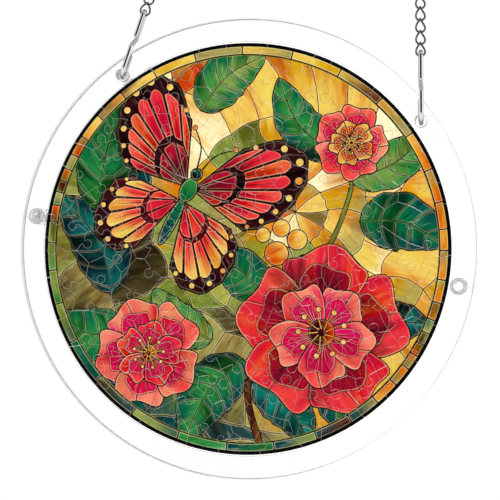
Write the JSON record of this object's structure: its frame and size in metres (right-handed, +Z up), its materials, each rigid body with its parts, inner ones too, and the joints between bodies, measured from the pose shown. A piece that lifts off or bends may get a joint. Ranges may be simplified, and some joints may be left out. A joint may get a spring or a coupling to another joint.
{
  "type": "puzzle suncatcher",
  "caption": "Round clear acrylic suncatcher: a printed jigsaw held between two clear plates by clear screws and nuts, hung by long S-hooks and twisted chain runs.",
  "frame": {"origin": "halfway between the seats of the two end rings, where the hanger bears", "axes": "+X to the viewer's right, +Y from the front of the disc to its back, +Z up"},
  "size_m": [0.2, 0.0145, 0.2341],
  "materials": {
    "clear_acrylic": "clear cast acrylic with polished edges",
    "printed_acrylic": "glossy acrylic printed all over in stained-glass colours",
    "polished_steel": "bright plated wire"
  },
  "bodies": {
    "root": {"front_plate": "clear_acrylic", "back_plate": "clear_acrylic", "spacer_ring": "clear_acrylic", "puzzle_group_01": "printed_acrylic", "puzzle_group_02": "printed_acrylic", "puzzle_group_03": "printed_acrylic", "puzzle_group_04": "printed_acrylic", "puzzle_group_05": "printed_acrylic", "puzzle_group_06": "printed_acrylic", "puzzle_group_07": "printed_acrylic", "puzzle_group_08": "printed_acrylic", "puzzle_group_09": "printed_acrylic", "puzzle_group_10": "printed_acrylic", "puzzle_group_11": "printed_acrylic", "puzzle_group_12": "printed_acrylic", "puzzle_group_13": "printed_acrylic", "puzzle_group_14": "printed_acrylic", "puzzle_group_15": "printed_acrylic", "puzzle_group_16": "printed_acrylic", "puzzle_group_17": "printed_acrylic", "puzzle_group_18": "printed_acrylic", "puzzle_group_19": "printed_acrylic", "puzzle_group_20": "printed_acrylic", "puzzle_group_21": "printed_acrylic", "puzzle_group_22": "printed_acrylic", "puzzle_group_23": "printed_acrylic", "puzzle_group_24": "printed_acrylic", "puzzle_group_25": "printed_acrylic", "puzzle_group_26": "printed_acrylic", "puzzle_group_27": "printed_acrylic", "puzzle_group_28": "printed_acrylic", "puzzle_group_29": "printed_acrylic", "puzzle_group_30": "printed_acrylic", "screw_left": "clear_acrylic", "nut_left": "clear_acrylic", "hook_left": "polished_steel", "chain_left": "polished_steel", "end_ring_left": "polished_steel", "screw_right": "clear_acrylic", "nut_right": "clear_acrylic", "hook_right": "polished_steel", "chain_right": "polished_steel", "end_ring_right": "polished_steel"}
  },
  "joints": []
}
